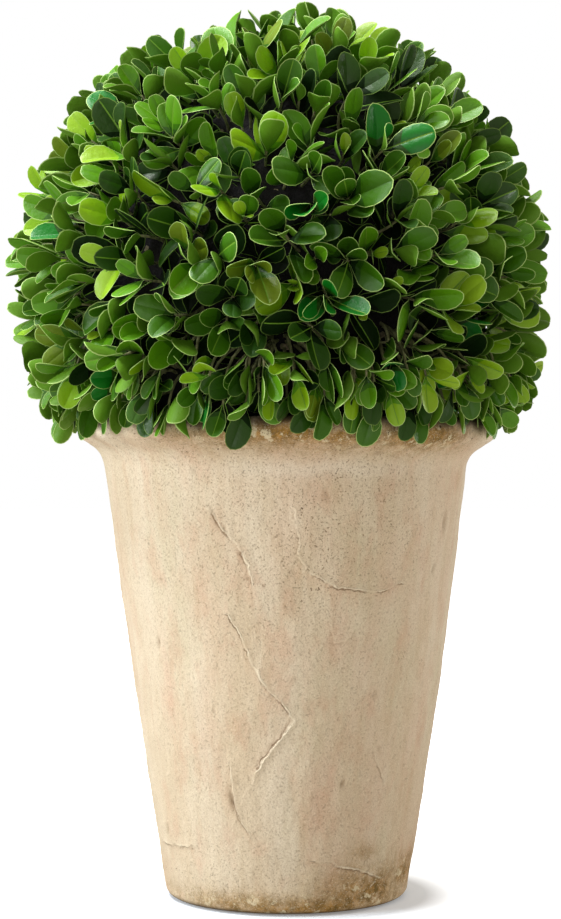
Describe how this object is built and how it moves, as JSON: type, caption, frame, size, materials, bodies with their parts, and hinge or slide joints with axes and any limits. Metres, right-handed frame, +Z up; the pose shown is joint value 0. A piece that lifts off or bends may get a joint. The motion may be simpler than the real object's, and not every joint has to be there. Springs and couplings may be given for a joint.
{
  "type": "potted box topiary ball",
  "caption": "Clipped ball of small-leaved box foliage on a short hidden stem, growing in a tapered clay pot with a flared rim.",
  "frame": {"origin": "centre of the pot's flat underside, on the surface that the pot stands on", "axes": "+Z up along the pot's axis; +X to the right and +Y away from someone who looks at the front"},
  "size_m": [0.2322, 0.233, 0.3794],
  "materials": {
    "clay": "unglazed cream clay, matte, hand-worked, with flaked edges, hairline cracks and dark specks",
    "soil": "dark crumbly potting compost",
    "bark": "grey-brown corky bark",
    "leaf": "leathery green leaves, satin above and matte below, with thin pale margins"
  },
  "bodies": {
    "root": {"pot": "clay", "soil": "soil", "stem": "bark", "foliage_ball": "leaf"}
  },
  "joints": []
}
